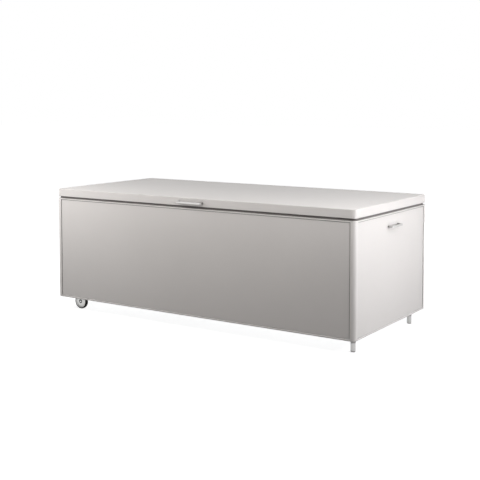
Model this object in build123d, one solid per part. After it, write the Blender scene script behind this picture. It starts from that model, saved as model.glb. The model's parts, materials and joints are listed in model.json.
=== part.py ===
from build123d import *
import math
import os

# Garden storage chest: a long metal box on two wheels and two legs, with a flush hinged lid.
# Everything is drawn from the outer front left bottom corner of the box: X along the box to the
# right, Y to the back, Z up. At the end it is moved so that the origin is under its middle.

# Overall sizes, in millimetres
chest_length = 1890.0
chest_depth = 850.0
body_height = 567.5
lid_gap = 11.0
lid_height = 43.5
ground_clearance = 72.0

# Frame: corner posts and rails
post_width = 28.0
corner_radius = 19.0
inner_corner_radius = 4.0
frame_wall = 2.5
frame_edge_round = 0.8
rim_strip = 6.0
hinge_rail_strip = 34.0
rim_lip = 12.0
base_strip = 10.5
base_round = 3.0
base_shoulder = 4.0
seam = 3.2
base_seam = 0.6
rebate_lap = 15.0
spigot_length = 15.0
spigot_clearance = 0.2

# Panels and their ribs
panel_recess = 2.0
panel_thickness = 3.0
panel_edge_round = 0.8
rib_wall = 1.5
rib_crown = 36.0
rib_depth = 18.0
rib_foot = 14.0
rib_end_gap = 3.0
panel_rib_share = (0.25, 0.5, 0.75)

# Floor and crossmembers
floor_height = 40.0
floor_sheet = 2.0
floor_edge_gap = 1.0
drain_radius = 5.0
drain_columns = 6
drain_rows = 2
crossmember_width = 46.0
crossmember_height = 20.0
crossmember_wall = 2.0
middle_crossmembers = 3

# Seal on the rim
seal_inset = 10.0
seal_width = 10.0
seal_clearance = 0.3
seal_round = 3.0
seal_corner_radius = 12.0

# Lid
lid_corner_radius = 22.0
lid_edge_round = 3.0
lid_bend_round = 2.5
lid_sheet = 2.0
lid_hem = 36.0
hem_corner_radius = 10.0
liner_sheet = 1.5
liner_lap = 12.0
lid_rib_width = 26.0
lid_rib_wall = 1.5
lid_rib_share = (0.25, 0.5, 0.75)
rivet_radius = 2.0
rivet_head_radius = 4.0
rivet_head_height = 1.4
rivet_dome_share = 0.8
rivet_grip = 6.0
rivets_along = 8
rivets_across = 3

# Bar handles on the lid and on the right end
bar_height = 10.0
bar_thickness = 8.0
bar_bend = 11.0
bar_inner_bend = 3.0
bar_edge_round = 1.2
lid_handle_length = 155.0
lid_handle_reach = 28.0
lid_handle_height = 20.0
end_handle_length = 124.0
end_handle_reach = 29.0
end_handle_drop = 65.5
handle_screw_radius = 2.5
handle_screw_depth = 12.0
handle_screw_head_radius = 4.75
handle_screw_head_height = 3.0
handle_plate_thickness = 3.0
handle_plate_margin = 16.0
screw_clearance = 0.1

# Legs
leg_inset_x = 52.0
leg_inset_y = 88.0
leg_radius = 12.5
leg_wall = 2.0
leg_plate_length = 44.0
leg_plate_width = 76.0
leg_plate_thickness = 4.0
leg_plate_corner = 6.0
leg_bolt_spacing = 52.0
foot_setback = 0.4
foot_sole = 5.0
foot_round = 2.5
foot_plug_length = 18.0
foot_clearance = 0.05

# Wheels, axle and brackets
wheel_x = 112.0
wheel_setback = 61.0
wheel_radius = 42.5
wheel_width = 20.0
tyre_thickness = 6.5
tyre_round = 5.0
tyre_round_limit_share = 0.9
tyre_clearance = 0.02
rim_thickness = 3.5
rim_setback = 1.2
dish_depth = 2.2
web_thickness = 3.0
hub_radius = 13.5
hub_recess_radius = 10.8
hub_recess_depth = 4.0
hub_overhang = 2.0
wheel_spokes = 6
spoke_thickness = 3.0
spoke_setback = 3.0
bush_wall = 2.0
bush_flange_radius = 9.5
bush_flange = 1.0
axle_radius = 5.0
axle_clearance = 0.05
axle_dome = 3.5
axle_proud = 1.6
retainer_radius = 9.8
retainer_thickness = 2.2
side_play = 0.5
bracket_plate = 4.0
bracket_width = 46.0
bracket_eye_radius = 14.0
bracket_flange = 40.0
bracket_bolt_spacing = 28.0
bolt_radius = 4.0
bolt_clearance = 0.2
bolt_head_width = 13.0
bolt_head_height = 5.3
bolt_grip = 12.0

# Hinges at the back
hinge_share = (0.14, 0.5, 0.86)
hinge_length = 80.0
hinge_leaf = 2.0
hinge_leaf_height = 29.0
hinge_leaf_corner = 4.0
hinge_barrel_radius = 4.5
hinge_barrel_gap = 0.3
hinge_pin_radius = 2.5
hinge_pin_clearance = 0.05
hinge_pin_head_radius = 3.6
hinge_pin_head = 1.5
hinge_knuckles = 5
hinge_knuckle_gap = 0.3
hinge_leaf_relief = 0.6
hinge_screws = 3
hinge_screw_pitch = 27.0
hinge_screw_radius = 2.0
hinge_screw_head_radius = 3.8
hinge_screw_length = 9.0
hinge_screw_drop = 21.0

# Gas struts, with their pivots measured forward and up from the hinge axis
strut_low_forward = 160.0
strut_low_drop = 250.0
strut_high_forward = 130.0
strut_high_drop = 16.0
strut_side_gap = 3.5
strut_tube_radius = 11.0
strut_tube_wall = 1.5
strut_tube_floor = 3.0
strut_guide_length = 12.0
strut_rod_radius = 5.0
strut_rod_clearance = 0.08
strut_rod_show = 8.0
strut_piston_clearance = 0.1
strut_piston_length = 10.0
strut_piston_gap = 4.0
socket_radius = 9.0
socket_width = 16.0
socket_neck_radius = 6.5
socket_neck_length = 20.0
socket_wall = 2.0
stud_radius = 4.0
stud_clearance = 0.05
stud_open_gap = 0.3
strut_plate = 2.5
strut_plate_width = 44.0
strut_plate_corner = 9.5
strut_low_plate_height = 96.0
strut_low_crown = 44.0
strut_high_reach = 12.0
strut_high_gap = 2.0
strut_high_flange = 26.0
strut_rivet_spacing = 26.0

cut_overrun = 1.0

# Places worked out from the sizes
rim_underside = body_height - rim_strip
panel_bottom = base_strip + base_seam
panel_back = panel_recess + panel_thickness
web_top = panel_bottom + rebate_lap
web_inside = panel_back + frame_wall
end_handle_height = body_height - end_handle_drop
lid_bottom = body_height + lid_gap
lid_top = lid_bottom + lid_height
floor_top = floor_height + floor_sheet
crossmember_bottom = floor_height - crossmember_height
ground = -ground_clearance

hinge_y = chest_depth + hinge_barrel_radius + hinge_barrel_gap
hinge_z = body_height + lid_gap / 2
hinge_reach = hinge_y + hinge_barrel_radius - chest_depth

axle_z = ground + wheel_radius
hub_back = wheel_width + hub_overhang
bracket_start = hub_back + bush_flange + side_play

# The upper strut brackets lie just inside the rivets of the liner.
rivet_inset = lid_hem - liner_lap / 2
strut_high_inset = rivet_inset + rivet_head_radius + strut_high_gap
strut_inset = strut_high_inset + strut_plate + strut_side_gap + socket_width / 2
strut_low_top = strut_inset - strut_tube_radius - strut_side_gap
strut_low = (hinge_y - strut_low_forward, hinge_z - strut_low_drop)
strut_high = (hinge_y - strut_high_forward, hinge_z - strut_high_drop)

chest_left = -(chest_length - panel_recess + end_handle_reach) / 2
chest_front = lid_handle_reach - (chest_depth + lid_handle_reach + hinge_reach) / 2
frame_shift = Pos(chest_left, chest_front, ground_clearance)

# Each side is drawn as if it were the front: along X, with Y going into the box.
SIDES = {
    "front": (chest_length, Location((0, 0, 0))),
    "back": (chest_length, Location((chest_length, chest_depth, 0), (0, 0, 180))),
    "left": (chest_depth, Location((0, chest_depth, 0), (0, 0, -90))),
    "right": (chest_depth, Location((chest_length, 0, 0), (0, 0, 90))),
}
# Each corner is drawn as if it were the front left one: its place, and the sides that meet there.
CORNERS = {
    "front_left": (SIDES["front"][1], "front", "left"),
    "front_right": (SIDES["right"][1], "right", "front"),
    "back_right": (SIDES["back"][1], "back", "right"),
    "back_left": (SIDES["left"][1], "left", "back"),
}

PIECES = {}


def keep(name, shape):
    """Name one sub-part; a list of shapes becomes a group of separate solids."""
    PIECES[name] = shape


def block(low, high):
    """A box from its lowest to its highest corner."""
    size = [top - bottom for bottom, top in zip(low, high)]
    middle = [(top + bottom) / 2 for bottom, top in zip(low, high)]
    return Pos(*middle) * Box(*size)


def rod(radius, start, end):
    """A round bar between two points."""
    line = Vector(*end) - Vector(*start)
    plane = Plane(origin=start, z_dir=line)
    return extrude(plane * Circle(radius), line.length)


def run_along_x(points, start, end):
    """A section drawn in Y and Z, carried along X from start to end."""
    face = Plane.YZ.offset(start) * make_face(Polyline(*points, close=True))
    return extrude(face, end - start)


# Frame


def strip_of(side):
    """Height of a top rail's outer strip; the hinges need a taller one at the back."""
    return hinge_rail_strip if side == "back" else rim_strip


def panel_top(side):
    """Top edge of a panel, below the strip and the seam."""
    return body_height - strip_of(side) - seam


def web_bottom(side):
    """Lower edge of a top rail's web, which the panel's top laps."""
    return panel_top(side) - rebate_lap


def corner_section(inset, radius):
    """Section of a corner post: square, with one large round on the outside."""
    side = post_width - 2 * inset
    square = Pos(inset, inset) * Rectangle(side, side, align=(Align.MIN, Align.MIN))
    far_corner = square.vertices().sort_by(lambda corner: corner.X + corner.Y)[-1]
    square = fillet(far_corner, inner_corner_radius)
    rounded = RectangleRounded(2 * post_width, 2 * post_width, radius, align=(Align.MIN, Align.MIN))
    return square & Pos(inset, inset) * rounded


def spigot(height):
    """The tongue of a corner block that fills the hollow of its post."""
    inset = frame_wall + spigot_clearance
    return extrude(corner_section(inset, corner_radius - inset), height)


def corner_post(front, side):
    """Hollow round-cornered post with the two flanges that the panels lie on."""
    outside = corner_section(0, corner_radius)
    across = outside.vertices().sort_by(lambda corner: corner.X - corner.Y)
    outside = fillet([across[0], across[-1]], frame_edge_round)
    tube = outside - corner_section(frame_wall, corner_radius - frame_wall)
    post = Pos(0, 0, base_strip) * extrude(tube, rim_underside - base_strip)
    flange_end = post_width + seam + rebate_lap
    front_top = web_bottom(front)
    side_top = web_bottom(side)
    post += block((post_width, panel_back, web_top), (flange_end, web_inside, front_top))
    return post + block((panel_back, post_width, web_top), (web_inside, flange_end, side_top))


def rim_corner():
    """Corner block that closes a post at the rim."""
    top = Pos(0, 0, rim_underside) * extrude(corner_section(0, corner_radius), rim_strip)
    top_edges = top.faces().sort_by(Axis.Z)[-1].edges()
    outside = top_edges.sort_by(lambda edge: edge.center().X + edge.center().Y)[:3]
    top = fillet(outside, frame_edge_round)
    return top + Pos(0, 0, rim_underside - spigot_length) * spigot(spigot_length)


def base_corner():
    """Corner block under a post, with the same round bottom edge as the base rails."""
    foot = extrude(corner_section(0, corner_radius), base_strip)
    bottom_edges = foot.faces().sort_by(Axis.Z)[0].edges()
    outside = bottom_edges.sort_by(lambda edge: edge.center().X + edge.center().Y)[:3]
    foot = fillet(outside, base_round)
    return foot + Pos(0, 0, base_strip) * spigot(spigot_length)


def top_rail(side, length):
    """Rim rail: outer strip, panel rebate, top flange and inner lip."""
    lip = post_width - frame_wall
    under = body_height - frame_wall
    strip_bottom = body_height - strip_of(side)
    section = [
        (0, body_height),
        (0, strip_bottom),
        (panel_back, strip_bottom),
        (panel_back, web_bottom(side)),
        (web_inside, web_bottom(side)),
        (web_inside, under),
        (lip, under),
        (lip, body_height - rim_lip),
        (post_width, body_height - rim_lip),
        (post_width, body_height),
    ]
    rail = run_along_x(section, post_width, length - post_width)
    outer_edges = rail.edges().filter_by(Axis.X).group_by(Axis.Y)[0]
    return fillet(outer_edges, frame_edge_round)


def base_rail(length):
    """Bottom rail: round outer edges, panel rebate, and the web that carries the floor."""
    web = post_width - frame_wall
    section = [
        (0, 0),
        (post_width, 0),
        (post_width, floor_height),
        (web, floor_height),
        (web, frame_wall),
        (web_inside, frame_wall),
        (web_inside, web_top),
        (panel_back, web_top),
        (panel_back, base_strip),
        (0, base_strip),
    ]
    rail = run_along_x(section, post_width, length - post_width)
    low_edge = rail.edges().filter_by(Axis.X).group_by(Axis.Y)[0].sort_by(Axis.Z)[0]
    rail = fillet(low_edge, base_round)
    high_edge = rail.edges().filter_by(Axis.X).group_by(Axis.Y)[0].sort_by(Axis.Z)[-1]
    return fillet(high_edge, base_shoulder)


# Panels


def panel(side, length):
    """Flat sheet that lies a little back in the frame, with a narrow seam round it."""
    start = post_width + seam
    sheet = block((start, panel_recess, panel_bottom), (length - start, panel_back, panel_top(side)))
    return fillet(sheet.faces().sort_by(Axis.Y)[0].edges(), panel_edge_round)


def panel_rib(side, x):
    """Folded hat-shaped rib on the inside of a long panel."""
    half_crown = rib_crown / 2
    half_foot = half_crown + rib_foot
    crown = panel_back + rib_depth
    section = [
        (x - half_foot, panel_back),
        (x - half_crown + rib_wall, panel_back),
        (x - half_crown + rib_wall, crown - rib_wall),
        (x + half_crown - rib_wall, crown - rib_wall),
        (x + half_crown - rib_wall, panel_back),
        (x + half_foot, panel_back),
        (x + half_foot, panel_back + rib_wall),
        (x + half_crown, panel_back + rib_wall),
        (x + half_crown, crown),
        (x - half_crown, crown),
        (x - half_crown, panel_back + rib_wall),
        (x - half_foot, panel_back + rib_wall),
    ]
    bottom = floor_top + rib_end_gap
    top = web_bottom(side) - rib_end_gap
    face = Plane.XY.offset(bottom) * make_face(Polyline(*section, close=True))
    return extrude(face, top - bottom)


# Handles


def bar_handle(length, reach):
    """Bent bar with its feet on the plane Y = 0, reaching to Y = -reach, centred on the origin."""
    outside = Pos(0, -reach / 2) * Rectangle(length, reach)
    front = outside.vertices().group_by(Axis.Y)[0]
    outside = fillet(front, bar_bend)
    inner_reach = reach - bar_thickness
    inside = Pos(0, -inner_reach / 2) * Rectangle(length - 2 * bar_thickness, inner_reach)
    inside = fillet(inside.vertices().group_by(Axis.Y)[0], bar_inner_bend)
    bar = Pos(0, 0, -bar_height / 2) * extrude(outside - inside, bar_height)
    rim = bar.faces().filter_by(Axis.Z).edges().filter_by(lambda edge: edge.center().Y < -bar_edge_round)
    bar = fillet(rim, bar_edge_round)
    for x in handle_screw_places(length):
        bar -= rod(handle_screw_radius + screw_clearance, (x, 0, 0), (x, -handle_screw_depth, 0))
    return bar


def handle_screw_places(length):
    """Where a handle's two screws lie along it."""
    half = (length - bar_thickness) / 2
    return (-half, half)


def handle_screws(length, grip):
    """Pan-head screws from the inside, through the sheets and into the handle's feet."""
    depth = handle_screw_depth - cut_overrun
    screws = []
    for x in handle_screw_places(length):
        shank = rod(handle_screw_radius, (x, -depth, 0), (x, grip, 0))
        head = rod(handle_screw_head_radius, (x, grip, 0), (x, grip + handle_screw_head_height, 0))
        rim = head.edges().group_by(Axis.Y)[-1]
        head = fillet(rim, handle_screw_head_height / 2)
        screws.append(shank + head)
    return screws


def handle_holes(length, grip):
    """Cutters for the screws of a handle through sheets of the given thickness."""
    radius = handle_screw_radius + screw_clearance
    return [
        rod(radius, (x, -cut_overrun, 0), (x, grip + cut_overrun, 0))
        for x in handle_screw_places(length)
    ]


lid_handle_place = Location((chest_length / 2, 0, lid_bottom + lid_handle_height))
end_handle_place = Location(
    (chest_length - panel_recess, chest_depth / 2, end_handle_height), (0, 0, 90)
)


def end_handle_plate():
    """Plate on the inside of the right panel that spreads the pull of the end handle."""
    half_length = end_handle_length / 2 + handle_plate_margin
    half_height = bar_height / 2 + handle_plate_margin
    low = (-half_length, panel_thickness, -half_height)
    high = (half_length, panel_thickness + handle_plate_thickness, half_height)
    plate = block(low, high)
    corners = plate.edges().filter_by(Axis.Y)
    plate = fillet(corners, handle_plate_margin / 2)
    for cutter in handle_holes(end_handle_length, panel_thickness + handle_plate_thickness):
        plate -= cutter
    return plate


# Floor, crossmembers, legs and wheels


def crossmember_places():
    """Middles of the crossmembers along the box: over the wheels, between, over the legs."""
    first = wheel_x
    last = chest_length - leg_inset_x
    pitch = (last - first) / (middle_crossmembers + 1)
    return [first + pitch * step for step in range(middle_crossmembers + 2)]


def leg_places():
    """Middles of the front and the back leg."""
    x = chest_length - leg_inset_x
    return {"front": (x, leg_inset_y), "back": (x, chest_depth - leg_inset_y)}


def bolt_places():
    """Where the underframe bolts go, each with the lowest sheet that it holds."""
    places = []
    for x, y in leg_places().values():
        for side in (-1, 1):
            places.append((x, y + side * leg_bolt_spacing / 2, leg_plate_thickness))
    flange_middle = bracket_start + (bracket_plate + bracket_flange) / 2
    for y in (wheel_setback + flange_middle, chest_depth - wheel_setback - flange_middle):
        for side in (-1, 1):
            places.append((wheel_x + side * bracket_bolt_spacing / 2, y, bracket_plate))
    return places


def floor_sheet_solid():
    """Floor with notched corners and drain holes."""
    edge = web_inside + floor_edge_gap
    sheet = block((edge, edge, floor_height), (chest_length - edge, chest_depth - edge, floor_top))
    notch = post_width + floor_edge_gap
    for place, _, _ in CORNERS.values():
        low = (-cut_overrun, -cut_overrun, floor_height - cut_overrun)
        sheet -= place * block(low, (notch, notch, floor_top + cut_overrun))
    for column in range(drain_columns):
        for row in range(drain_rows):
            x = chest_length * (column + 0.5) / drain_columns
            y = chest_depth * (row + 0.5) / drain_rows
            low = (x, y, floor_height - cut_overrun)
            sheet -= rod(drain_radius, low, (x, y, floor_top + cut_overrun))
    return sheet


def crossmember(x):
    """Rectangular tube between the webs of the front and back base rails."""
    half = crossmember_width / 2
    low = (x - half, post_width, crossmember_bottom)
    high = (x + half, chest_depth - post_width, floor_height)
    wall = crossmember_wall
    hollow_low = (low[0] + wall, low[1] - cut_overrun, low[2] + wall)
    hollow_high = (high[0] - wall, high[1] + cut_overrun, high[2] - wall)
    tube = block(low, high) - block(hollow_low, hollow_high)
    for bolt_x, y, grip in bolt_places():
        if abs(bolt_x - x) < half:
            hole_top = crossmember_bottom + wall + cut_overrun
            start = (bolt_x, y, crossmember_bottom - cut_overrun)
            tube -= rod(bolt_radius + bolt_clearance, start, (bolt_x, y, hole_top))
    return tube


def underframe_bolt(x, y, grip):
    """Hexagon bolt up through a plate into a crossmember."""
    seat = crossmember_bottom - grip
    shank = rod(bolt_radius, (x, y, seat), (x, y, seat + bolt_grip))
    hexagon = RegularPolygon(bolt_head_width / 2, 6, major_radius=False)
    head = Pos(x, y, seat - bolt_head_height) * extrude(hexagon, bolt_head_height)
    return head + shank


def leg(x, y):
    """Round tube welded under a plate."""
    plate_top = crossmember_bottom
    plate_bottom = plate_top - leg_plate_thickness
    outline = RectangleRounded(leg_plate_length, leg_plate_width, leg_plate_corner)
    plate = Pos(x, y, plate_bottom) * extrude(outline, leg_plate_thickness)
    tube_end = ground + foot_sole
    tube = rod(leg_radius, (x, y, tube_end), (x, y, plate_bottom))
    bore = rod(leg_radius - leg_wall, (x, y, tube_end - cut_overrun), (x, y, plate_bottom))
    solid = plate + (tube - bore)
    for side in (-1, 1):
        bolt_y = y + side * leg_bolt_spacing / 2
        start = (x, bolt_y, plate_bottom - cut_overrun)
        solid -= rod(bolt_radius + bolt_clearance, start, (x, bolt_y, plate_top + cut_overrun))
    return solid


def foot_cap(x, y):
    """Moulded plug in the end of a leg, with a round sole under the tube."""
    seat = ground + foot_sole
    sole = rod(leg_radius - foot_setback, (x, y, ground), (x, y, seat))
    sole = fillet(sole.edges().sort_by(Axis.Z)[0], foot_round)
    plug_radius = leg_radius - leg_wall - foot_clearance
    return sole + rod(plug_radius, (x, y, seat), (x, y, seat + foot_plug_length))


def turned(points):
    """A ring turned round the wheel's axis; points are (distance along it, radius)."""
    outline = Polyline(*[(radius, along) for along, radius in points], close=True)
    face = Plane.XY * make_face(outline)
    return revolve(face, Axis.Y)


def tyre():
    """Soft ring with rounded shoulders."""
    inner = wheel_radius - tyre_thickness
    section = Pos((inner + wheel_radius) / 2, wheel_width / 2) * Rectangle(tyre_thickness, wheel_width)
    tread = section.vertices().group_by(Axis.X)[-1]
    section = fillet(tread, min(tyre_round, tyre_thickness * tyre_round_limit_share))
    return revolve(section, Axis.Y)


def wheel_disc():
    """Moulded wheel: rim, dished web, recessed hub and spokes on the hidden side."""
    rim_outer = wheel_radius - tyre_thickness - tyre_clearance
    rim_inner = rim_outer - rim_thickness
    bore = axle_radius + axle_clearance + bush_wall + tyre_clearance
    web_front = rim_setback + dish_depth
    web_back = web_front + web_thickness
    disc = turned(
        [
            (rim_setback, rim_outer),
            (rim_setback, rim_inner),
            (web_front, rim_inner - dish_depth),
            (rim_setback, hub_radius),
            (rim_setback, hub_recess_radius),
            (hub_recess_depth, hub_recess_radius),
            (hub_recess_depth, bore),
            (hub_back, bore),
            (hub_back, hub_radius),
            (web_back, hub_radius),
            (web_back, rim_inner),
            (wheel_width - rim_setback, rim_inner),
            (wheel_width - rim_setback, rim_outer),
        ]
    )
    middle = (hub_radius + rim_inner) / 2
    spoke_length = rim_inner - hub_radius + rim_thickness
    spoke_end = wheel_width - spoke_setback
    for spoke in range(wheel_spokes):
        low = (middle - spoke_length / 2, web_back - cut_overrun, -spoke_thickness / 2)
        high = (middle + spoke_length / 2, spoke_end, spoke_thickness / 2)
        disc += Rot(0, 360 * spoke / wheel_spokes, 0) * block(low, high)
    return disc


def bush():
    """Flanged bush between the wheel and its axle."""
    bore = axle_radius + axle_clearance
    outer = bore + bush_wall
    return turned(
        [
            (hub_recess_depth, bore),
            (hub_back + bush_flange, bore),
            (hub_back + bush_flange, bush_flange_radius),
            (hub_back, bush_flange_radius),
            (hub_back, outer),
            (hub_recess_depth, outer),
        ]
    )


def retainer():
    """Push-on ring that holds a wheel on its axle."""
    end = hub_recess_depth - side_play
    start = end - retainer_thickness
    edge = retainer_thickness / 2
    return turned(
        [
            (start, axle_radius),
            (end, axle_radius),
            (end, retainer_radius),
            (end - edge, retainer_radius),
            (start, retainer_radius - edge),
        ]
    )


def wheel_bracket():
    """Bent plate beside a wheel: an eye for the axle and a flange under the crossmember."""
    flange_bottom = crossmember_bottom - bracket_plate
    half = bracket_width / 2
    taper = Pos(0, (crossmember_bottom + flange_bottom) / 2) * Rectangle(bracket_width, bracket_plate)
    eye = Pos(0, axle_z) * Circle(bracket_eye_radius)
    outline = make_hull(taper.edges() + eye.edges())
    plate = extrude(Plane.XZ.offset(-bracket_start) * outline, -bracket_plate)
    flange_end = bracket_start + bracket_plate + bracket_flange
    flange = block((-half, bracket_start, flange_bottom), (half, flange_end, crossmember_bottom))
    solid = plate + flange
    reach = bracket_start + bracket_plate + cut_overrun
    start = (0, bracket_start - cut_overrun, axle_z)
    solid -= rod(axle_radius + axle_clearance, start, (0, reach, axle_z))
    bolt_y = bracket_start + (bracket_plate + bracket_flange) / 2
    for side in (-1, 1):
        bolt_x = side * bracket_bolt_spacing / 2
        low = (bolt_x, bolt_y, flange_bottom - cut_overrun)
        solid -= rod(bolt_radius + bolt_clearance, low, (bolt_x, bolt_y, crossmember_bottom + cut_overrun))
    return solid


def wheel_axle():
    """Round axle through both brackets and wheels, with domed ends."""
    start = wheel_setback + hub_recess_depth - side_play - retainer_thickness - axle_proud
    axle = rod(axle_radius, (wheel_x, start, axle_z), (wheel_x, chest_depth - start, axle_z))
    ends = axle.edges().filter_by(GeomType.CIRCLE)
    return fillet(ends, axle_dome)


# What is turned for the front wheel is drawn at the axle's height, and turned round for the back one.
wheel_sides = {
    "front": Location((wheel_x, wheel_setback, 0)),
    "back": Location((wheel_x, chest_depth - wheel_setback, 0), (0, 0, 180)),
}
axle_level = Pos(0, 0, axle_z)


# Rim seal and lid


def ring_outline(inset, radius):
    """Rounded rectangle drawn inside the outline of the box."""
    outline = RectangleRounded(chest_length - 2 * inset, chest_depth - 2 * inset, radius)
    return Pos(chest_length / 2, chest_depth / 2) * outline


def rim_seal():
    """Rubber seal that lies along the rim, just clear of the closed lid."""
    outer = ring_outline(seal_inset, seal_corner_radius)
    inner = ring_outline(seal_inset + seal_width, seal_corner_radius - seal_width)
    seal = Pos(0, 0, body_height) * extrude(outer - inner, lid_gap - seal_clearance)
    return fillet(seal.faces().sort_by(Axis.Z)[-1].edges(), seal_round)


def lid_shell():
    """Folded lid pan: top, skirt and the hem turned in under it."""
    shell = Pos(0, 0, lid_bottom) * extrude(ring_outline(0, lid_corner_radius), lid_height)
    shell = fillet(shell.faces().sort_by(Axis.Z)[-1].edges(), lid_edge_round)
    shell = fillet(shell.faces().sort_by(Axis.Z)[0].edges(), lid_bend_round)
    hollow = extrude(ring_outline(lid_sheet, lid_corner_radius - lid_sheet), lid_height - 2 * lid_sheet)
    shell -= Pos(0, 0, lid_bottom + lid_sheet) * hollow
    mouth = extrude(ring_outline(lid_hem, hem_corner_radius), lid_sheet + 2 * cut_overrun)
    shell -= Pos(0, 0, lid_bottom - cut_overrun) * mouth
    for cutter in handle_holes(lid_handle_length, lid_sheet):
        shell -= lid_handle_place * cutter
    for x, z in hinge_screw_places(1):
        shell -= hinge_screw_hole(x, z, lid_sheet)
    for x, y in rivet_places():
        shell -= rivet_hole(x, y, lid_bottom, lid_bottom + lid_sheet)
    return shell


def liner_edge():
    """How far the liner's edge lies inside the outline of the box."""
    return lid_hem - liner_lap


def rivet_places():
    """Rivets round the liner, on the middle of its lap."""
    inset = rivet_inset
    places = []
    for step in range(rivets_along):
        x = inset + (chest_length - 2 * inset) * (step + 0.5) / rivets_along
        places += [(x, inset), (x, chest_depth - inset)]
    for step in range(rivets_across):
        y = inset + (chest_depth - 2 * inset) * (step + 0.5) / rivets_across
        places += [(inset, y), (chest_length - inset, y)]
    return places


def strut_rivet_places():
    """Rivets of the upper strut brackets, through the liner and the end ribs."""
    inset = strut_high_inset + strut_high_flange / 2
    half = strut_rivet_spacing / 2
    return [
        (x, strut_high[0] + side * half)
        for x in (inset, chest_length - inset)
        for side in (-1, 1)
    ]


def rivet_hole(x, y, bottom, top):
    """Cutter for a rivet through a sheet."""
    start = (x, y, bottom - cut_overrun)
    return rod(rivet_radius + screw_clearance, start, (x, y, top + cut_overrun))


def lid_liner():
    """Flat sheet riveted under the hem, which closes the lid from below."""
    bottom = lid_bottom - liner_sheet
    liner = extrude(ring_outline(liner_edge(), hem_corner_radius), liner_sheet)
    liner = Pos(0, 0, bottom) * liner
    for x, y in rivet_places() + strut_rivet_places():
        liner -= rivet_hole(x, y, bottom, lid_bottom)
    return liner


def rivet(x, y, seat):
    """Blind rivet with a low domed head under the sheets that it holds."""
    shank = rod(rivet_radius, (x, y, seat), (x, y, seat + rivet_grip))
    head = rod(rivet_head_radius, (x, y, seat - rivet_head_height), (x, y, seat))
    head = fillet(head.edges().sort_by(Axis.Z)[0], rivet_head_height * rivet_dome_share)
    return head + shank


def lid_rib_places():
    """Middles of the lid's ribs: one over each strut bracket, and the rest between."""
    end = strut_high_inset + lid_rib_width / 2
    middle = [chest_length * share for share in lid_rib_share]
    return [end] + middle + [chest_length - end]


def lid_rib(x):
    """Channel from the front skirt to the back skirt, between the hem and the top."""
    half = lid_rib_width / 2
    low = (x - half, lid_sheet, lid_bottom + lid_sheet)
    high = (x + half, chest_depth - lid_sheet, lid_top - lid_sheet)
    web = low[0] + lid_rib_wall
    hollow_low = (web, low[1] - cut_overrun, low[2] + lid_rib_wall)
    hollow_high = (high[0] + cut_overrun, high[1] + cut_overrun, high[2] - lid_rib_wall)
    channel = block(low, high) - block(hollow_low, hollow_high)
    for rivet_x, y in strut_rivet_places():
        if abs(rivet_x - x) < half:
            channel -= rivet_hole(rivet_x, y, low[2], hollow_low[2])
    return channel


# Hinges


def hinge_places():
    """Middles of the hinges along the box."""
    return [chest_length * share for share in hinge_share]


def hinge_screw_places(side):
    """Screws of the leaves: side 1 is the lid's leaf, side -1 the body's."""
    z = hinge_z + side * hinge_screw_drop
    middle = (hinge_screws - 1) / 2
    return [
        (x + (step - middle) * hinge_screw_pitch, z)
        for x in hinge_places()
        for step in range(hinge_screws)
    ]


def hinge_screw_hole(x, z, depth):
    """Cutter for a hinge screw into the back of the box."""
    start = (x, chest_depth + cut_overrun, z)
    return rod(hinge_screw_radius + screw_clearance, start, (x, chest_depth - depth - cut_overrun, z))


def countersunk(radius, head_radius, length):
    """Countersunk screw along -Y, with its flat head on the plane Y = 0."""
    cone = head_radius - radius
    points = [(0, 0), (head_radius, 0), (radius, -cone), (radius, -length), (0, -length)]
    return revolve(make_face(Polyline(*points, close=True)), Axis.Y)


def hinge_leaf_solid(x, side):
    """One leaf with its knuckles; side 1 swings with the lid, side -1 stays on the body."""
    low_z, high_z = sorted((0, side * hinge_leaf_height))
    half = hinge_length / 2
    leaf_y = chest_depth - hinge_y
    leaf = block((-half, leaf_y, low_z), (half, leaf_y + hinge_leaf, high_z))
    corners = leaf.edges().filter_by(Axis.Y).group_by(Axis.Z)[-1 if side > 0 else 0]
    leaf = fillet(corners, hinge_leaf_corner)
    leaf += rod(hinge_barrel_radius, (-half, 0, 0), (half, 0, 0))
    pitch = hinge_length / hinge_knuckles
    relief = hinge_barrel_radius + hinge_leaf_relief
    for knuckle in range(hinge_knuckles):
        mine = (knuckle % 2 == 0) == (side < 0)
        if not mine:
            start = -half + pitch * knuckle - (hinge_knuckle_gap if knuckle else cut_overrun)
            last = knuckle == hinge_knuckles - 1
            end = -half + pitch * (knuckle + 1) + (cut_overrun if last else hinge_knuckle_gap)
            leaf -= block((start, -relief, -relief), (end, relief, relief))
    reach = half + cut_overrun
    leaf -= rod(hinge_pin_radius + hinge_pin_clearance, (-reach, 0, 0), (reach, 0, 0))
    leaf = Pos(x, hinge_y, hinge_z) * leaf
    sink = countersunk(
        hinge_screw_radius + screw_clearance,
        hinge_screw_head_radius + screw_clearance,
        hinge_screw_length,
    )
    for screw_x, z in hinge_screw_places(side):
        if abs(screw_x - x) < half:
            leaf -= Pos(screw_x, chest_depth + hinge_leaf, z) * sink
    return leaf


def hinge_pin(x):
    """Pin with a head at each end."""
    half = hinge_length / 2
    pin = rod(hinge_pin_radius, (x - half, hinge_y, hinge_z), (x + half, hinge_y, hinge_z))
    for side in (-1, 1):
        start = (x + side * half, hinge_y, hinge_z)
        end = (x + side * (half + hinge_pin_head), hinge_y, hinge_z)
        pin += rod(hinge_pin_head_radius, start, end)
    return pin


def hinge_screws_of(side):
    """The countersunk screws of all leaves on one side."""
    screw = countersunk(hinge_screw_radius, hinge_screw_head_radius, hinge_screw_length)
    return [Pos(x, chest_depth + hinge_leaf, z) * screw for x, z in hinge_screw_places(side)]


# Gas struts. Each is drawn upright from its lower pivot, then tilted and put at its end of the box.

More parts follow.
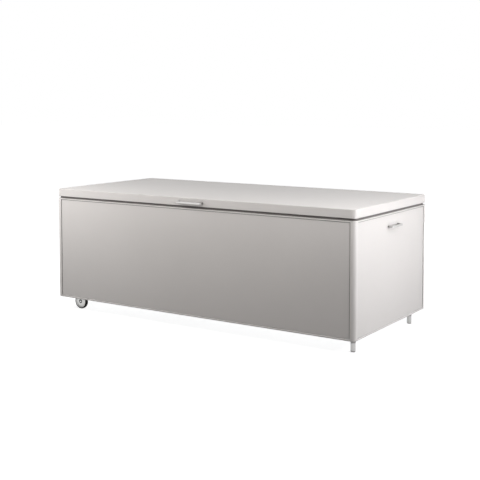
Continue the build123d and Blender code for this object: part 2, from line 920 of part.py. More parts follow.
strut_rise = (strut_high[0] - strut_low[0], strut_high[1] - strut_low[1])
strut_closed = math.hypot(*strut_rise)
strut_lean = math.degrees(math.atan2(-strut_rise[0], strut_rise[1]))
strut_tube_length = strut_closed - 2 * socket_neck_length - strut_rod_show


def strut_place(x):
    """Where an upright strut goes at the given distance along the box."""
    return Location((x, *strut_low), (strut_lean, 0, 0))


def socket(up, outward):
    """Ball socket: a round head with a neck; its hole faces the end of the box."""
    half = socket_width / 2
    head = rod(socket_radius, (-half, 0, 0), (half, 0, 0))
    head = fillet(head.edges().filter_by(GeomType.CIRCLE), socket_wall)
    neck = rod(socket_neck_radius, (0, 0, 0), (0, 0, up * socket_neck_length))
    hole_start = (outward * (half + cut_overrun), 0, 0)
    hole_end = (-outward * (half - socket_wall), 0, 0)
    return head + neck - rod(stud_radius + stud_clearance, hole_start, hole_end)


def strut_tube():
    """Closed tube with a guide at its top for the rod."""
    start = socket_neck_length
    end = start + strut_tube_length
    tube = rod(strut_tube_radius, (0, 0, start), (0, 0, end))
    tube = fillet(tube.edges().filter_by(GeomType.CIRCLE), strut_tube_wall)
    bore = strut_tube_radius - strut_tube_wall
    tube -= rod(bore, (0, 0, start + strut_tube_floor), (0, 0, end - strut_guide_length))
    guide = strut_rod_radius + strut_rod_clearance
    return tube - rod(guide, (0, 0, end - strut_guide_length - cut_overrun), (0, 0, end + cut_overrun))


def strut_rod():
    """Polished rod with the piston that runs in the tube."""
    start = socket_neck_length + strut_tube_floor + strut_piston_gap
    end = strut_closed - socket_neck_length
    piston = strut_tube_radius - strut_tube_wall - strut_piston_clearance
    bar = rod(strut_rod_radius, (0, 0, start), (0, 0, end))
    return bar + rod(piston, (0, 0, start), (0, 0, start + strut_piston_length))


def strut_bracket_low():
    """Hat-shaped bracket inside the left panel, with the stud that the strut turns on."""
    half = strut_low_plate_height / 2
    crown = strut_low_crown / 2
    top = strut_low_top
    section = [
        (panel_back, -half),
        (panel_back, -crown + strut_plate),
        (top - strut_plate, -crown + strut_plate),
        (top - strut_plate, crown - strut_plate),
        (panel_back, crown - strut_plate),
        (panel_back, half),
        (panel_back + strut_plate, half),
        (panel_back + strut_plate, crown),
        (top, crown),
        (top, -crown),
        (panel_back + strut_plate, -crown),
        (panel_back + strut_plate, -half),
    ]
    outline = make_face(Polyline(*section, close=True))
    hat = extrude(Plane.XZ.offset(strut_plate_width / 2) * outline, -strut_plate_width)
    stud_end = strut_inset + socket_width / 2 - socket_wall - stud_open_gap
    stud = rod(stud_radius, (top - strut_plate, 0, 0), (stud_end, 0, 0))
    return Pos(0, *strut_low) * (hat + stud)


def strut_bracket_high():
    """Angle under the liner at the left end; its stud stops just beside the strut's socket."""
    half = strut_plate_width / 2
    seat = lid_bottom - liner_sheet - strut_high[1]
    inner = strut_high_inset + strut_high_flange
    flange = block((strut_high_inset, -half, seat - strut_plate), (inner, half, seat))
    web = block(
        (strut_high_inset, -half, -strut_high_reach),
        (strut_high_inset + strut_plate, half, seat),
    )
    lower_corners = web.edges().filter_by(Axis.X).group_by(Axis.Z)[0]
    web = fillet(lower_corners, strut_plate_corner)
    stud_start = (strut_high_inset, 0, 0)
    stud_end = strut_inset - socket_width / 2 - stud_open_gap
    stud = rod(stud_radius, stud_start, (stud_end, 0, 0))
    bracket = Pos(0, *strut_high) * (flange + web + stud)
    underside = lid_bottom - liner_sheet - strut_plate
    for x, y in strut_rivet_places():
        bracket -= rivet_hole(x, y, underside, lid_bottom)
    return bracket


def mirrored(shape):
    """The same piece at the other end of the box."""
    return mirror(shape, Plane.YZ.offset(chest_length / 2))


# Put the frame together

for corner, (place, front, side) in CORNERS.items():
    keep("corner_post_" + corner, place * corner_post(front, side))
keep("rim_corner_blocks", [place * rim_corner() for place, _, _ in CORNERS.values()])
keep("base_corner_blocks", [place * base_corner() for place, _, _ in CORNERS.values()])
for side, (length, place) in SIDES.items():
    rail = place * top_rail(side, length)
    sheet = place * panel(side, length)
    if side == "back":
        for x, z in hinge_screw_places(-1):
            rail -= hinge_screw_hole(x, z, web_inside)
    if side == "right":
        for cutter in handle_holes(end_handle_length, panel_thickness):
            sheet -= end_handle_place * cutter
    keep("top_rail_" + side, rail)
    keep("base_rail_" + side, place * base_rail(length))
    keep(side + "_panel", sheet)

panel_ribs = [
    SIDES[side][1] * panel_rib(side, chest_length * share)
    for side in ("front", "back")
    for share in panel_rib_share
]
keep("panel_ribs", panel_ribs)
keep("floor_sheet", floor_sheet_solid())
keep("floor_crossmembers", [crossmember(x) for x in crossmember_places()])
keep("rim_seal", rim_seal())

keep("end_handle", end_handle_place * bar_handle(end_handle_length, end_handle_reach))
keep("end_handle_plate", end_handle_place * end_handle_plate())
end_grip = panel_thickness + handle_plate_thickness
keep("end_handle_screws", [end_handle_place * screw for screw in handle_screws(end_handle_length, end_grip)])

for side, (x, y) in leg_places().items():
    keep("leg_" + side, leg(x, y))
keep("foot_caps", [foot_cap(x, y) for x, y in leg_places().values()])
keep("wheel_axle", wheel_axle())
keep("axle_retainers", [place * axle_level * retainer() for place in wheel_sides.values()])
for side, place in wheel_sides.items():
    keep("wheel_bracket_" + side, place * wheel_bracket())
    keep(side + "_wheel_tyre", place * axle_level * tyre())
    keep(side + "_wheel_disc", place * axle_level * wheel_disc())
    keep(side + "_wheel_bush", place * axle_level * bush())
keep("underframe_bolts", [underframe_bolt(*place) for place in bolt_places()])

# The lid and its hinges

keep("lid_shell", lid_shell())
keep("lid_ribs", [lid_rib(x) for x in lid_rib_places()])
keep("lid_liner", lid_liner())
liner_bottom = lid_bottom - liner_sheet
rivets = [rivet(x, y, liner_bottom) for x, y in rivet_places()]
rivets += [rivet(x, y, liner_bottom - strut_plate) for x, y in strut_rivet_places()]
keep("lid_rivets", rivets)
keep("lid_handle", lid_handle_place * bar_handle(lid_handle_length, lid_handle_reach))
keep("lid_handle_screws", [lid_handle_place * screw for screw in handle_screws(lid_handle_length, lid_sheet)])
keep("hinge_leaves_body", [hinge_leaf_solid(x, -1) for x in hinge_places()])
keep("hinge_leaves_lid", [hinge_leaf_solid(x, 1) for x in hinge_places()])
keep("hinge_pins", [hinge_pin(x) for x in hinge_places()])
keep("hinge_screws_body", hinge_screws_of(-1))
keep("hinge_screws_lid", hinge_screws_of(1))

# The gas struts

keep("strut_brackets_low", [strut_bracket_low(), mirrored(strut_bracket_low())])
keep("strut_brackets_high", [strut_bracket_high(), mirrored(strut_bracket_high())])
for side, x, outward in (("left", strut_inset, -1), ("right", chest_length - strut_inset, 1)):
    place = strut_place(x)
    keep(side + "_strut_cylinder", place * strut_tube())
    keep(side + "_strut_rod", place * strut_rod())
    keep(side + "_strut_low_socket", place * socket(1, outward))
    keep(side + "_strut_high_socket", place * Pos(0, 0, strut_closed) * socket(-1, outward))

# Write one file for each sub-part

os.makedirs("parts", exist_ok=True)
for name, shape in PIECES.items():
    if isinstance(shape, list):
        shape = Compound(children=[solid for piece in shape for solid in piece.solids()])
    export_step(frame_shift * shape, "parts/" + name + ".step")
print(len(PIECES), "nodes; chest", chest_length, chest_depth, lid_top + ground_clearance)
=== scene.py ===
import json
import math

import bmesh
import bpy
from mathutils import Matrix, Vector


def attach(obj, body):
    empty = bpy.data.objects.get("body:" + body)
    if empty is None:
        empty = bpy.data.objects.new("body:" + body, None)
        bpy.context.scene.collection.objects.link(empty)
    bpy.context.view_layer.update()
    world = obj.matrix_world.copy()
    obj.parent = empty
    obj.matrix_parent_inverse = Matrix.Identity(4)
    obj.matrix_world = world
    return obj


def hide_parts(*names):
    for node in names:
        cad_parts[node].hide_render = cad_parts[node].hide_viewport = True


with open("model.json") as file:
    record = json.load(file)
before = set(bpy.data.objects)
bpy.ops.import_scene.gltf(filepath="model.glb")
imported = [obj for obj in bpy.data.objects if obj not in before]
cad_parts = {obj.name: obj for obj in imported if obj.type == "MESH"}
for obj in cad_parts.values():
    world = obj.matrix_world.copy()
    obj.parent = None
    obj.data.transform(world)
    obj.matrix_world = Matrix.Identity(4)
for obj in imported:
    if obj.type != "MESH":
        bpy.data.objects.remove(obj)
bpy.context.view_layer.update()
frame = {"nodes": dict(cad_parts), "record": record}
nodes = frame["nodes"]
slot_of = {part["node"]: part["material_slot"] for part in frame["record"]["subparts"]}
body_of = {name: body for body, names in frame["record"]["behaviour"]["bodies"].items() for name in names}

# Camera, as solved from the photograph, in metres, degrees and pixels, and its sensor in millimetres
IMAGE_SIZE = 480
CAMERA_PLACE = Vector((2.8356, -4.29685, 1.2056))
CAMERA_AZIMUTH = 33.241
CAMERA_TILT = 3.747
CAMERA_FOCAL_PIXELS = 934.2
CAMERA_CENTRE_ROW = 160
SENSOR_WIDTH = 36.0

# Noise: its detail, the part of its range that is used, and the stretch that draws it into lines
COARSE_DETAIL = 3.0
FINE_DETAIL = 2.0
NOISE_LOW = 0.3
NOISE_HIGH = 0.7
NO_LINES = (1, 1, 1)
ALONG_X = (0.02, 1, 1)
ALONG_Y = (1, 0.02, 1)
ALONG_Z = (1, 1, 0.02)

# Shade painted into the colour close to other surfaces: its reach in metres, the share of colour left at
# its darkest, how open a place is where the painted shade is full and where it ends, and the number of
# rays that test it
METAL_PAINTED_SHADE_REACH = 0.006
METAL_PAINTED_SHADE_DARKEST = 0.6
DEEP_PAINTED_SHADE_REACH = 0.02
DEEP_PAINTED_SHADE_DARKEST = 0.3
COAT_PAINTED_SHADE_REACH = 0.03
COAT_PAINTED_SHADE_DARKEST = 0.45
SHADE_FULL = 0.35
SHADE_ENDS = 0.95
SHADE_SAMPLES = 8

# Heights in metres over which a painted shadow darkens a leg below the chest, and the share of colour left
# there
LEG_PAINTED_SHADOW = (0.04, 0.049, 0.35)

# Powder coat: linear colour, how it varies as shares of it, noise scales per metre, grain in metres
PAINT = (0.685, 0.655, 0.635)
# The frame's coat is the panels' colour made lighter, as a painted highlight on its strips and posts
FRAME_HIGHLIGHT_SHARE = 1.05
PAINT_TONE_SCALE = 3.0
PAINT_TONE_SHARES = (0.985, 1.01)
PAINT_ROUGHNESS = 0.42
PAINT_ROUGHNESS_SCALE = 40.0
PAINT_ROUGHNESS_MARGINS = (-0.02, 0.03)
PAINT_GRAIN_SCALE = 900.0
PAINT_GRAIN_HEIGHT = 0.00002
PAINT_IOR = 1.5

# Brushed metal, in the same units
METAL_TONE_SCALE = 60.0
METAL_TONE_SHARES = (0.965, 1.02)
METAL_ROUGHNESS_MARGINS = (-0.05, 0.07)
METAL_LINE_SCALE = 1800.0
METAL_LINE_HEIGHT = 0.000004

# Moulded plastic and rubber, in the same units
MOULDED_TONE_SCALE = 80.0
MOULDED_TONE_SHARES = (0.94, 1.05)
MOULDED_ROUGHNESS_SCALE = 300.0
MOULDED_ROUGHNESS_MARGINS = (-0.04, 0.06)
MOULDED_GRAIN_SCALE = 1500.0
MOULDED_GRAIN_HEIGHT = 0.00001

# Points round a screw or rivet, and steps up a rivet's dome
RING_POINTS = 24
DOME_STEPS = 5

# Screws: the head's edge in metres, shares of the head's radius, and the socket's share of the cone
SCREW_EDGE = 0.0001
SCREW_SHANK_SHARE = 0.53
SOCKET_SHARE = 0.52
SOCKET_DEPTH_SHARE = 0.8

# Rivets: shares of the head's radius, the mandrel's share of the bore, and depths as shares of the dome
RIVET_SHANK_SHARE = 0.5
RIVET_BORE_SHARE = 0.3
RIVET_DOME_SHARE = 0.35
MANDREL_SHARE = 0.7
MANDREL_DEPTH_SHARE = 0.4
BORE_DEPTH_SHARE = 0.7

# Tints of the lamps
NEUTRAL = (1, 1, 1)
COOL = (0.99, 0.994, 1.013)
WARM = (1.015, 1.0, 0.985)

# World and floor: strengths, grey levels, sizes in metres, and where the floor goes over to white
SEEN_WORLD = 1.0
EVEN_LIGHT = 0.04
FLOOR_SIZE = 60
FLOOR_SEEN_GREY = 0.5
FLOOR_LIT_GREY = 0.15
FLOOR_GLOW = 0.82
FLOOR_FADE_START = 1.2
FLOOR_FADE_END = 2.6


def add_camera():
    """Puts the camera where the photograph was taken from."""
    data = bpy.data.cameras.new("camera")
    data.sensor_width = SENSOR_WIDTH
    data.lens = CAMERA_FOCAL_PIXELS / IMAGE_SIZE * SENSOR_WIDTH
    data.shift_y = (CAMERA_CENTRE_ROW - IMAGE_SIZE / 2) / IMAGE_SIZE
    camera = bpy.data.objects.new("camera", data)
    camera.location = CAMERA_PLACE
    camera.rotation_euler = (math.radians(90 - CAMERA_TILT), 0, math.radians(CAMERA_AZIMUTH))
    bpy.context.scene.collection.objects.link(camera)
    bpy.context.scene.camera = camera


class Shader:
    """A node material being put together: short calls for the nodes used below."""

    def __init__(self, name):
        self.material = bpy.data.materials.new(name)
        self.material.use_nodes = True
        self.tree = self.material.node_tree
        self.tree.nodes.clear()
        output = self.tree.nodes.new("ShaderNodeOutputMaterial")
        self.surface = self.tree.nodes.new("ShaderNodeBsdfPrincipled")
        self.link(self.surface.outputs["BSDF"], output.inputs["Surface"])
        self.place = self.tree.nodes.new("ShaderNodeTexCoord").outputs["Object"]

    def link(self, source, target):
        self.tree.links.new(source, target)

    def set(self, **values):
        """Sets sockets of the surface, such as Metallic=1.0; an underscore stands for a space."""
        for name, value in values.items():
            self.surface.inputs[name.replace("_", " ")].default_value = value

    def noise(self, scale, detail, stretch=NO_LINES):
        """Noise in the object's own place, with features of about 1/scale metres."""
        mapping = self.tree.nodes.new("ShaderNodeMapping")
        mapping.inputs["Scale"].default_value = stretch
        self.link(self.place, mapping.inputs["Vector"])
        noise = self.tree.nodes.new("ShaderNodeTexNoise")
        noise.inputs["Scale"].default_value = scale
        noise.inputs["Detail"].default_value = detail
        self.link(mapping.outputs["Vector"], noise.inputs["Vector"])
        return noise.outputs["Fac"]

    def spread(self, value, low, high, start=NOISE_LOW, end=NOISE_HIGH):
        """Maps a value that goes from start to end to one that goes from low to high."""
        node = self.tree.nodes.new("ShaderNodeMapRange")
        node.inputs["From Min"].default_value = start
        node.inputs["From Max"].default_value = end
        node.inputs["To Min"].default_value = low
        node.inputs["To Max"].default_value = high
        self.link(value, node.inputs["Value"])
        return node.outputs["Result"]

    def tone(self, value, colour, shares):
        """Gives the base colour, which a noise takes from its darker to its lighter share."""
        ramp = self.tree.nodes.new("ShaderNodeValToRGB")
        for element, position, share in zip(ramp.color_ramp.elements, (NOISE_LOW, NOISE_HIGH), shares):
            element.position = position
            element.color = (*scaled(colour, share), 1)
        self.link(value, ramp.inputs["Fac"])
        self.paint(ramp.outputs["Color"])

    def paint(self, colour):
        """Links a colour to the surface, and keeps it so that painted shade can be laid over it."""
        self.colour = colour
        self.link(colour, self.surface.inputs["Base Color"])

    def scale_colour_for_painted_shade(self, factor):
        """Scales the base colour by a value that differs over the surface, which paints shade into it."""
        scale = self.tree.nodes.new("ShaderNodeVectorMath")
        scale.operation = "SCALE"
        self.link(self.colour, scale.inputs["Vector"])
        self.link(factor, scale.inputs["Scale"])
        self.paint(scale.outputs["Vector"])

    def paint_shade_near(self, reach, darkest):
        """Paints shade into the base colour where another surface lies within reach, as in a seam."""
        near = self.tree.nodes.new("ShaderNodeAmbientOcclusion")
        near.samples = SHADE_SAMPLES
        near.inputs["Distance"].default_value = reach
        self.scale_colour_for_painted_shade(self.spread(near.outputs["AO"], darkest, 1.0, SHADE_FULL, SHADE_ENDS))

    def paint_shadow_above(self, start, end, darkest):
        """Paints a shadow into the base colour from one height up to another, as cast by something above.
        """
        axes = self.tree.nodes.new("ShaderNodeSeparateXYZ")
        self.link(self.place, axes.inputs["Vector"])
        self.scale_colour_for_painted_shade(self.spread(axes.outputs["Z"], 1.0, darkest, start, end))

    def roughen(self, value, level, margins):
        """Lets a noise vary the roughness about its level, between the margins below and above."""
        low, high = margins
        varied = self.spread(value, level + low, level + high)
        self.link(varied, self.surface.inputs["Roughness"])

    def bump(self, value, height):
        """Bumps of the given height in metres."""
        node = self.tree.nodes.new("ShaderNodeBump")
        node.inputs["Strength"].default_value = 1.0
        node.inputs["Distance"].default_value = height
        self.link(value, node.inputs["Height"])
        self.link(node.outputs["Normal"], self.surface.inputs["Normal"])


def scaled(colour, factor):
    """The same colour, lighter or darker."""
    return tuple(channel * factor for channel in colour)


def powder_coat(name, colour):
    """Satin powder coat: an even colour with a fine orange-peel surface, with shade painted into its seams
    and near other surfaces.
    """
    shader = Shader(name)
    shader.tone(shader.noise(PAINT_TONE_SCALE, COARSE_DETAIL), colour, PAINT_TONE_SHARES)
    patches = shader.noise(PAINT_ROUGHNESS_SCALE, COARSE_DETAIL)
    shader.roughen(patches, PAINT_ROUGHNESS, PAINT_ROUGHNESS_MARGINS)
    shader.bump(shader.noise(PAINT_GRAIN_SCALE, FINE_DETAIL), PAINT_GRAIN_HEIGHT)
    shader.paint_shade_near(COAT_PAINTED_SHADE_REACH, COAT_PAINTED_SHADE_DARKEST)
    shader.set(IOR=PAINT_IOR)
    return shader.material


def brushed_metal(name, colour, roughness, lines, reach=METAL_PAINTED_SHADE_REACH, darkest=METAL_PAINTED_SHADE_DARKEST, painted_shadow=None):
    """Metal with fine lines along one direction or none, with shade painted in close to other surfaces
    and, when given, a painted shadow above a height.
    """
    shader = Shader(name)
    brushing = shader.noise(METAL_LINE_SCALE, FINE_DETAIL, lines)
    shader.tone(shader.noise(METAL_TONE_SCALE, COARSE_DETAIL, lines), colour, METAL_TONE_SHARES)
    shader.roughen(brushing, roughness, METAL_ROUGHNESS_MARGINS)
    shader.bump(brushing, METAL_LINE_HEIGHT)
    shader.paint_shade_near(reach, darkest)
    if painted_shadow:
        shader.paint_shadow_above(*painted_shadow)
    shader.set(Metallic=1.0)
    return shader.material


def metal_with_deep_painted_shade(name, colour, roughness, lines):
    """Brushed metal on a piece that stands close before another, with a wider and deeper painted shade."""
    return brushed_metal(name, colour, roughness, lines, DEEP_PAINTED_SHADE_REACH, DEEP_PAINTED_SHADE_DARKEST)


def moulded(name, colour, roughness, shine=0.5):
    """Moulded plastic or rubber with a fine grain."""
    shader = Shader(name)
    shader.tone(shader.noise(MOULDED_TONE_SCALE, COARSE_DETAIL), colour, MOULDED_TONE_SHARES)
    patches = shader.noise(MOULDED_ROUGHNESS_SCALE, FINE_DETAIL)
    shader.roughen(patches, roughness, MOULDED_ROUGHNESS_MARGINS)
    shader.bump(shader.noise(MOULDED_GRAIN_SCALE, FINE_DETAIL), MOULDED_GRAIN_HEIGHT)
    shader.set(Specular_IOR_Level=shine)
    return shader.material


def finishes_by_slot():
    """The finish of each material slot in the record; the numbers are a linear colour and a roughness."""
    return {
        "body_paint": powder_coat("powder coat on the panels", PAINT),
        "lid_paint": powder_coat("powder coat on the lid", PAINT),
        "floor_aluminium": brushed_metal("mill finish sheet", (0.62, 0.63, 0.64), 0.42, ALONG_X),
        "zinc_steel": brushed_metal("zinc plate", (0.62, 0.63, 0.64), 0.4, NO_LINES),
        # The handles get a deeper painted shade where they stand close before the lid and the end
        "handle_steel": metal_with_deep_painted_shade("satin stainless handle", (0.52, 0.51, 0.5), 0.35, ALONG_X),
        "hinge_steel": brushed_metal("satin stainless hinge", (0.5, 0.5, 0.5), 0.34, ALONG_X),
        "axle_steel": brushed_metal("bright axle", (0.85, 0.85, 0.86), 0.22, ALONG_Y, darkest=1.0),
        "rivet_aluminium": brushed_metal("rivet", (0.75, 0.75, 0.76), 0.4, NO_LINES),
        "seal_rubber": moulded("seal rubber", (0.2, 0.185, 0.177), 0.7),
        "tyre_rubber": moulded("tyre rubber", (0.045, 0.044, 0.043), 0.75, shine=0.15),
        # The wheel disc gets a deeper painted shade below the chest
        "wheel_plastic": metal_with_deep_painted_shade("silver wheel disc", (0.5, 0.5, 0.49), 0.35, NO_LINES),
        "bush_plastic": moulded("nylon bush", (0.8, 0.79, 0.75), 0.5),
        "retainer_plastic": moulded("retainer", (0.04, 0.04, 0.04), 0.6, shine=0.2),
        "foot_plastic": moulded("foot cap", (0.45, 0.445, 0.44), 0.5),
        "strut_paint": moulded("strut paint", (0.015, 0.015, 0.016), 0.35),
        "socket_plastic": moulded("socket plastic", (0.02, 0.02, 0.02), 0.5),
        "rod_chrome": brushed_metal("chromed rod", (0.5, 0.5, 0.51), 0.15, NO_LINES),
    }


def finishes_by_name():
    """The finishes that differ from their slot's, by how the names of the nodes start."""
    # The frame's coat is the panels' colour made lighter, a painted highlight
    frame_paint_with_highlight = powder_coat("powder coat on the frame, lightened as painted highlight", scaled(PAINT, FRAME_HIGHLIGHT_SHARE))
    return {
        "corner_post": frame_paint_with_highlight,
        "top_rail": frame_paint_with_highlight,
        "base_rail": frame_paint_with_highlight,
        # The leg's tube gets a painted shadow at its top, below the chest
        "leg": brushed_metal("satin leg tube", (0.44, 0.435, 0.43), 0.4, ALONG_Z, painted_shadow=LEG_PAINTED_SHADOW),
    }


def add_materials():
    """Gives each node its finish."""
    by_slot = finishes_by_slot()
    by_name = finishes_by_name()
    for name, node in nodes.items():
        material = by_slot[slot_of[name]]
        for start, finish in by_name.items():
            if name.startswith(start):
                material = finish
        node.data.materials.clear()
        node.data.materials.append(material)


def islands(name):
    """Lowest and highest corners of each separate solid in a node's mesh."""
    mesh = nodes[name].data
    group = list(range(len(mesh.vertices)))

    def root(index):
        while group[index] != index:
            group[index] = group[group[index]]
            index = group[index]
        return index

    for edge in mesh.edges:
        group[root(edge.vertices[0])] = root(edge.vertices[1])
    solids = {}
    for vertex in mesh.vertices:
        solids.setdefault(root(vertex.index), []).append(vertex.co)
    boxes = []
    for points in solids.values():
        low = Vector([min(point[axis] for point in points) for axis in range(3)])
        high = Vector([max(point[axis] for point in points) for axis in range(3)])
        boxes.append((low, high))
    return boxes


def hexagon_reach(radius, angle):
    """How far a hexagon's edge is from its middle at an angle, when its corners are on the radius."""
    turn = math.pi / 3
    return radius * math.cos(turn / 2) / math.cos(angle % turn - turn / 2)


def add_rings(mesh, centre, outward, across, rings):
    """Skins a stack of rings about an axis; a ring is (radius, depth, six_sided)."""
    side = outward.cross(across)
    rows = []
    for radius, depth, six_sided in rings:
        row = []
        for step in range(RING_POINTS):
            angle = 2 * math.pi * step / RING_POINTS
            reach = hexagon_reach(radius, angle) if six_sided else radius
            point = centre - outward * depth + (across * math.cos(angle) + side * math.sin(angle)) * reach
            row.append(mesh.verts.new(point))
        rows.append(row)
    for row, after in zip(rows, rows[1:]):
        for step in range(RING_POINTS):
            following = (step + 1) % RING_POINTS
            mesh.faces.new((row[step], row[following], after[following], after[step]))
    mesh.faces.new(rows[0][::-1])
    mesh.faces.new(rows[-1])


def replace_fasteners(name, outward, across, profile):
    """Replaces a node of screws or rivets by ones with the recess that such a head has."""
    mesh = bmesh.new()
    for low, high in islands(name):
        middle = (low + high) / 2
        half = (high - low) / 2
        half_length = abs(half.dot(outward))
        rings = profile(abs(half.dot(across)), 2 * half_length)
        add_rings(mesh, middle + outward * half_length, outward, across, rings)
    bmesh.ops.recalc_face_normals(mesh, faces=mesh.faces)
    data = bpy.data.meshes.new(name + "_detailed")
    mesh.to_mesh(data)
    mesh.free()
    piece = bpy.data.objects.new(name + "_detailed", data)
    bpy.context.scene.collection.objects.link(piece)
    data.materials.append(nodes[name].data.materials[0])
    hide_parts(name)
    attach(piece, body_of[name])


def socket_screw_profile(head_radius, length):
    """Countersunk screw with a hexagonal socket, from the socket's floor outwards."""
    shank = SCREW_SHANK_SHARE * head_radius
    socket = SOCKET_SHARE * head_radius
    cone = head_radius - shank
    return [
        (socket, SOCKET_DEPTH_SHARE * cone, True),
        (socket, 0, True),
        (head_radius - SCREW_EDGE, 0, False),
        (head_radius, SCREW_EDGE, False),
        (shank, cone + SCREW_EDGE, False),
        (shank, length, False),
    ]


def blind_rivet_profile(head_radius, length):
    """Domed blind rivet with the broken end of its mandrel in the middle."""
    shank = RIVET_SHANK_SHARE * head_radius
    bore = RIVET_BORE_SHARE * head_radius
    dome = RIVET_DOME_SHARE * head_radius
    rings = [
        (bore * MANDREL_SHARE, dome * MANDREL_DEPTH_SHARE, False),
        (bore, dome * BORE_DEPTH_SHARE, False),
        (bore, 0, False),
    ]
    for step in range(1, DOME_STEPS + 1):
        angle = math.pi / 2 * step / DOME_STEPS
        radius = bore + (head_radius - bore) * math.sin(angle)
        rings.append((radius, dome * (1 - math.cos(angle)), False))
    rings += [(shank, dome, False), (shank, length, False)]
    return rings


def add_fasteners():
    """The hinge screws and the lid's rivets, with their sockets and mandrels."""
    back = Vector((0, 1, 0))
    down = Vector((0, 0, -1))
    along = Vector((1, 0, 0))
    for name in ("hinge_screws_body", "hinge_screws_lid"):
        replace_fasteners(name, back, along, socket_screw_profile)
    replace_fasteners("lid_rivets", down, along, blind_rivet_profile)


def area_lamp(name, place, target, size, power, tint=NEUTRAL, mirrored=True):
    """A soft rectangular lamp that faces a point, in metres and watts; it may stay out of reflections."""
    data = bpy.data.lights.new(name, "AREA")
    data.shape = "RECTANGLE"
    data.size, data.size_y = size
    data.energy = power
    data.color = tint
    lamp = bpy.data.objects.new(name, data)
    lamp.location = place
    direction = Vector(target) - Vector(place)
    lamp.rotation_euler = direction.to_track_quat("-Z", "Y").to_euler()
    lamp.visible_camera = False
    lamp.visible_glossy = mirrored
    bpy.context.scene.collection.objects.link(lamp)


def add_softboxes():
    """The large lamps: one far out on the right, and one overhead."""
    area_lamp("main softbox", place=(4.0, 0.9, 2.2), target=(0.9, 0.1, 0.4),
              size=(1.6, 1.5), power=10.6, tint=COOL)
    area_lamp("overhead softbox", place=(0, 0, 3.0), target=(0, 0, 0.6),
              size=(3.0, 1.5), power=12.6)


def add_right_lamps():
    """Cooler lamps beside the right end: along its top edge, and at its back and front."""
    area_lamp("right edge strip", place=(1.9, 0.05, 0.64), target=(0.93, 0.05, 0.6),
              size=(1.4, 0.1), power=8.8, tint=COOL)
    area_lamp("right back strip", place=(1.9, 0.3, 1.8), target=(0.93, 0.2, 0.5),
              size=(0.4, 0.8), power=8.7, tint=COOL)
    area_lamp("right front square", place=(1.6, -0.6, 1.3), target=(0.93, -0.3, 0.6),
              size=(0.4, 0.4), power=6.0, tint=COOL, mirrored=False)


def add_front_lamps():
    """Warmer strips before the front, and plain lamps before its left end."""
    area_lamp("front strip", place=(0, -1.1, 1.2), target=(0, -0.4, 0.6),
              size=(2.6, 0.3), power=8.6, tint=WARM, mirrored=False)
    area_lamp("front edge strip", place=(-0.1, -1.2, 0.64), target=(-0.1, -0.43, 0.6),
              size=(2.2, 0.1), power=1.2, tint=WARM)
    area_lamp("left square", place=(-1.6, -1.0, 1.3), target=(-0.9, -0.4, 0.5),
              size=(0.4, 0.4), power=9.7, mirrored=False)
    area_lamp("left strip", place=(-1.0, -1.1, 0.9), target=(-0.9, -0.43, 0.6),
              size=(0.5, 0.2), power=1.3)


def add_back_lamps():
    """Softboxes for the back and the left end, which the photograph doesn't show."""
    area_lamp("back softbox", place=(-0.3, 4.3, 0.9), target=(0, 0.4, 0.35),
              size=(3.0, 1.2), power=60, mirrored=False)
    area_lamp("left softbox", place=(-4.5, 0.5, 0.9), target=(-0.95, 0, 0.35),
              size=(2.0, 1.2), power=45, mirrored=False)


def camera_share(tree, seen, lit):
    """Mixes two shaders: seen for the camera, reflections and glass, and lit for all other rays."""
    path = tree.nodes.new("ShaderNodeLightPath")
    sees = path.outputs["Is Camera Ray"]
    for kind in ("Is Glossy Ray", "Is Transmission Ray"):
        either = tree.nodes.new("ShaderNodeMath")
        either.operation = "MAXIMUM"
        tree.links.new(sees, either.inputs[0])
        tree.links.new(path.outputs[kind], either.inputs[1])
        sees = either.outputs[0]
    mix = tree.nodes.new("ShaderNodeMixShader")
    tree.links.new(sees, mix.inputs["Fac"])
    tree.links.new(lit, mix.inputs[1])
    tree.links.new(seen, mix.inputs[2])
    return mix.outputs[0]


def white_light(tree, strength):
    """A white background."""
    node = tree.nodes.new("ShaderNodeBackground")
    node.inputs["Color"].default_value = (1, 1, 1, 1)
    node.inputs["Strength"].default_value = strength
    return node.outputs[0]


def matt_grey(tree, level):
    """A matt grey surface."""
    node = tree.nodes.new("ShaderNodeBsdfDiffuse")
    node.inputs["Color"].default_value = (level, level, level, 1)
    return node.outputs[0]


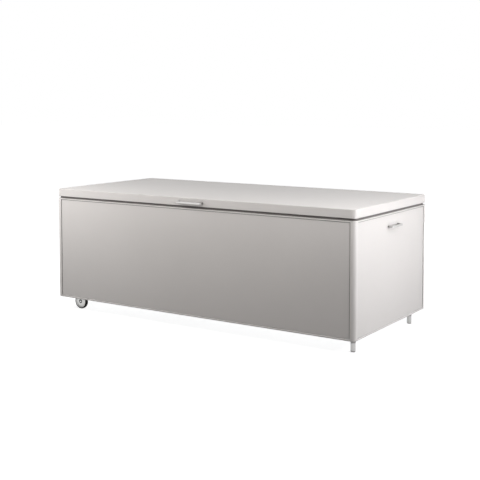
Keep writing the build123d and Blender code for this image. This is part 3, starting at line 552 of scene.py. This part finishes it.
def floor_glow(tree):
    """The floor's own light: weaker near the chest, where its shadow shows, and white further out."""
    place = tree.nodes.new("ShaderNodeTexCoord").outputs["Object"]
    away = tree.nodes.new("ShaderNodeVectorMath")
    away.operation = "LENGTH"
    tree.links.new(place, away.inputs[0])
    fade = tree.nodes.new("ShaderNodeMapRange")
    fade.interpolation_type = "SMOOTHSTEP"
    fade.inputs["From Min"].default_value = FLOOR_FADE_START
    fade.inputs["From Max"].default_value = FLOOR_FADE_END
    fade.inputs["To Min"].default_value = FLOOR_GLOW
    fade.inputs["To Max"].default_value = 1.0
    tree.links.new(away.outputs["Value"], fade.inputs["Value"])
    glow = tree.nodes.new("ShaderNodeEmission")
    tree.links.new(fade.outputs["Result"], glow.inputs["Strength"])
    return glow.outputs[0]


def add_world():
    """White to the camera, and a plain even light for the rest."""
    world = bpy.data.worlds.new("studio")
    bpy.context.scene.world = world
    world.use_nodes = True
    tree = world.node_tree
    tree.nodes.clear()
    shown = camera_share(tree, white_light(tree, SEEN_WORLD), white_light(tree, EVEN_LIGHT))
    output = tree.nodes.new("ShaderNodeOutputWorld")
    tree.links.new(shown, output.inputs["Surface"])


def add_floor():
    """A pale floor that keeps the chest's soft shadow and goes over to white further out."""
    bpy.ops.mesh.primitive_plane_add(size=FLOOR_SIZE)
    floor = bpy.context.object
    floor.name = "floor"
    material = bpy.data.materials.new("floor")
    material.use_nodes = True
    tree = material.node_tree
    tree.nodes.clear()
    seen = tree.nodes.new("ShaderNodeAddShader")
    tree.links.new(matt_grey(tree, FLOOR_SEEN_GREY), seen.inputs[0])
    tree.links.new(floor_glow(tree), seen.inputs[1])
    shown = camera_share(tree, seen.outputs[0], matt_grey(tree, FLOOR_LIT_GREY))
    output = tree.nodes.new("ShaderNodeOutputMaterial")
    tree.links.new(shown, output.inputs["Surface"])
    floor.data.materials.append(material)


add_camera()
add_materials()
add_fasteners()
add_softboxes()
add_right_lamps()
add_front_lamps()
add_back_lamps()
add_world()
add_floor()
bpy.context.scene.view_settings.view_transform = "Standard"

bpy.context.view_layer.update()
